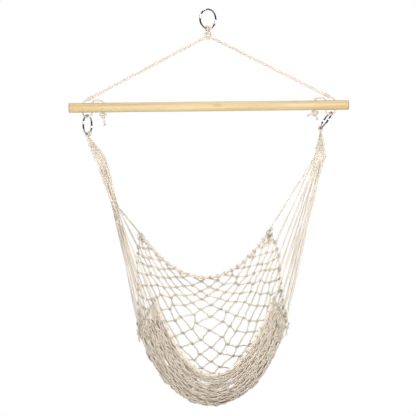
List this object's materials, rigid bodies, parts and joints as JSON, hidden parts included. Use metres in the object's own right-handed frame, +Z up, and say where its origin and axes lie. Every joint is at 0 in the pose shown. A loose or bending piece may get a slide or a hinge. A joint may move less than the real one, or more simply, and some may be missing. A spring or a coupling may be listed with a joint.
{
  "type": "rope hammock chair",
  "caption": "Hanging hammock chair: a knotted cotton net seat on clew cords and steel rings below a round wooden spreader bar with a rope bridle and a hanging ring.",
  "frame": {"origin": "the point inside the top of the hanging ring that bears on the hook", "axes": "+Z up, X along the spreader bar with +X to the right as a viewer in front of the chair sees it, +Y from the front of the seat to its back"},
  "size_m": [0.8, 0.3766, 1.132],
  "materials": {
    "cotton_rope": "matt natural cotton rope and cord",
    "pale_wood": "smooth clear-finished pale wood, fine straight grain",
    "chrome": "polished plated steel wire"
  },
  "bodies": {
    "hanging_ring": {"hanging_ring": "chrome"},
    "ring_wrap": {"ring_wrap": "cotton_rope"},
    "spreader": {"bridle_gather": "cotton_rope", "bridle_leg_left": "cotton_rope", "bridle_leg_right": "cotton_rope", "bridle_sleeve_left": "cotton_rope", "bridle_sleeve_right": "cotton_rope", "spreader_bar": "pale_wood", "hanger_cord_left": "cotton_rope", "hanger_cord_right": "cotton_rope", "stopper_knot_left": "cotton_rope", "stopper_knot_right": "cotton_rope", "knot_tail_left": "cotton_rope", "knot_tail_right_inner": "cotton_rope", "knot_tail_right_outer": "cotton_rope"},
    "seat": {"clew_hitch_left": "cotton_rope", "clew_hitch_right": "cotton_rope", "clew_mat_left": "cotton_rope", "clew_mat_right": "cotton_rope", "clew_left_01": "cotton_rope", "clew_left_02": "cotton_rope", "clew_left_03": "cotton_rope", "clew_left_04": "cotton_rope", "clew_left_05": "cotton_rope", "clew_left_06": "cotton_rope", "clew_left_07": "cotton_rope", "clew_left_08": "cotton_rope", "clew_left_09": "cotton_rope", "clew_left_10": "cotton_rope", "clew_left_11": "cotton_rope", "clew_left_12": "cotton_rope", "clew_right_01": "cotton_rope", "clew_right_02": "cotton_rope", "clew_right_03": "cotton_rope", "clew_right_04": "cotton_rope", "clew_right_05": "cotton_rope", "clew_right_06": "cotton_rope", "clew_right_07": "cotton_rope", "clew_right_08": "cotton_rope", "clew_right_09": "cotton_rope", "clew_right_10": "cotton_rope", "clew_right_11": "cotton_rope", "clew_right_12": "cotton_rope", "back_edge_rope": "cotton_rope", "front_edge_rope": "cotton_rope", "net_back": "cotton_rope", "net_seat": "cotton_rope", "net_front": "cotton_rope", "lashing_front_left": "cotton_rope", "lashing_side_left": "cotton_rope", "lashing_front_right": "cotton_rope", "lashing_side_right": "cotton_rope", "lashing_back_right": "cotton_rope"},
    "side_ring_left": {"side_ring_left": "chrome"},
    "side_ring_right": {"side_ring_right": "chrome"}
  },
  "joints": [
    {"name": "bridle_rocks", "type": "hinge", "parent": "hanging_ring", "child": "ring_wrap", "pos_m": [0, 0, -0.025], "axis": [-0.5878, 0.809, 0], "range_deg": [-20, 20]},
    {"name": "spreader_swings", "type": "hinge", "parent": "ring_wrap", "child": "spreader", "pos_m": [0, 0, -0.0525], "axis": [0.809, 0.5878, 0], "range_deg": [-50, 50]},
    {"name": "seat_swings", "type": "hinge", "parent": "spreader", "child": "seat", "pos_m": [0, 0, -0.3015], "axis": [1, 0, 0], "range_deg": [-30, 30]},
    {"name": "side_ring_left_turns", "type": "hinge", "parent": "seat", "child": "side_ring_left", "pos_m": [-0.3465, 0, -0.3231], "axis": [-0.9063, 0.4226, 0], "continuous": true},
    {"name": "side_ring_right_turns", "type": "hinge", "parent": "seat", "child": "side_ring_right", "pos_m": [0.33355, 0, -0.31714], "axis": [-0.7973, -0.1695, 0.5793], "continuous": true}
  ]
}
